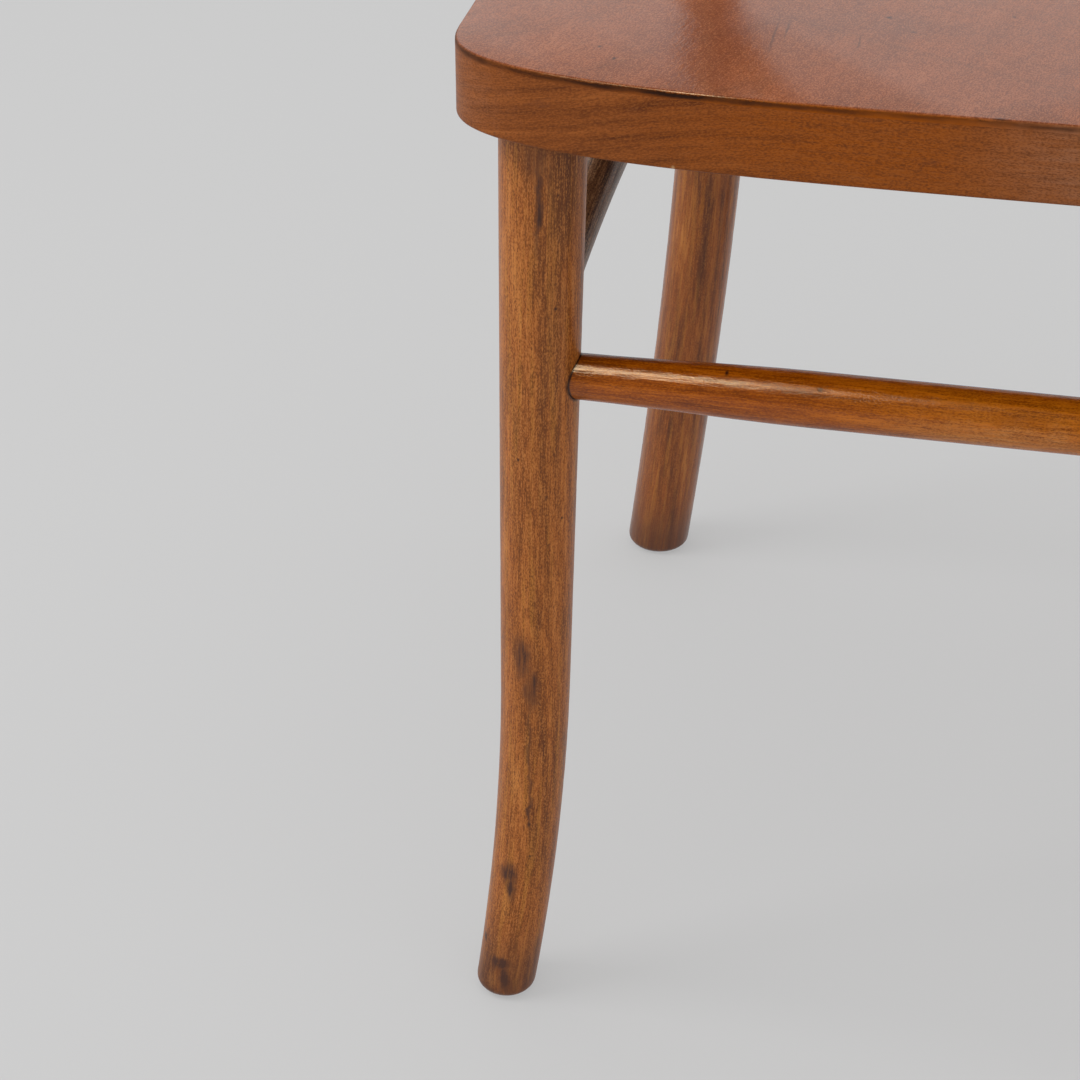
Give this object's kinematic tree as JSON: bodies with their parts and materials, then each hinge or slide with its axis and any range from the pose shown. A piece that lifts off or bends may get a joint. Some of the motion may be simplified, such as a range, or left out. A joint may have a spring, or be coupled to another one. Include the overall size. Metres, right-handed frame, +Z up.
{
  "type": "bentwood bistro chair",
  "caption": "Bentwood bistro chair with a flat plywood-covered seat, sabre front legs, a bent back bow that forms the rear legs, and turned and arched stretchers.",
  "frame": {"origin": "on the floor, on the chair's centre plane, under the middle of its overall depth", "axes": "+Z up, -Y the way the chair faces, +X to the chair's right as seen from the front"},
  "size_m": [0.389, 0.4638, 0.88],
  "materials": {
    "bent_rod_wood": "steam-bent beech, red-brown stain under satin-gloss lacquer",
    "seat_ring_wood": "steam-bent beech, amber-brown stain under satin-gloss lacquer, grain along the ring",
    "seat_panel_veneer": "veneered plywood, red-brown stain under worn gloss lacquer, grain front to back",
    "front_leg_wood": "turned beech, mottled orange-brown stain under satin-gloss lacquer",
    "stretcher_wood": "turned beech, amber stain under gloss lacquer",
    "side_stretcher_wood": "steam-bent beech, brown stain under satin-gloss lacquer",
    "wedge_wood": "bare beech",
    "bolt_steel": "dulled mild steel",
    "screw_brass": "tarnished brass"
  },
  "bodies": {
    "root": {"back_bow": "bent_rod_wood", "inner_bow": "bent_rod_wood", "seat_ring": "seat_ring_wood", "seat_panel": "seat_panel_veneer", "front_leg_left": "front_leg_wood", "leg_wedge_left": "wedge_wood", "front_leg_right": "front_leg_wood", "leg_wedge_right": "wedge_wood", "front_stretcher": "stretcher_wood", "rear_stretcher": "stretcher_wood", "left_side_stretcher": "side_stretcher_wood", "seat_bolt_left": "bolt_steel", "seat_bolt_washer_left": "bolt_steel", "seat_bolt_nut_left": "bolt_steel", "inner_bow_screw_left_lower": "screw_brass", "inner_bow_screw_left_upper": "screw_brass", "right_side_stretcher": "side_stretcher_wood", "seat_bolt_right": "bolt_steel", "seat_bolt_washer_right": "bolt_steel", "seat_bolt_nut_right": "bolt_steel", "inner_bow_screw_right_lower": "screw_brass", "inner_bow_screw_right_upper": "screw_brass"}
  },
  "joints": []
}
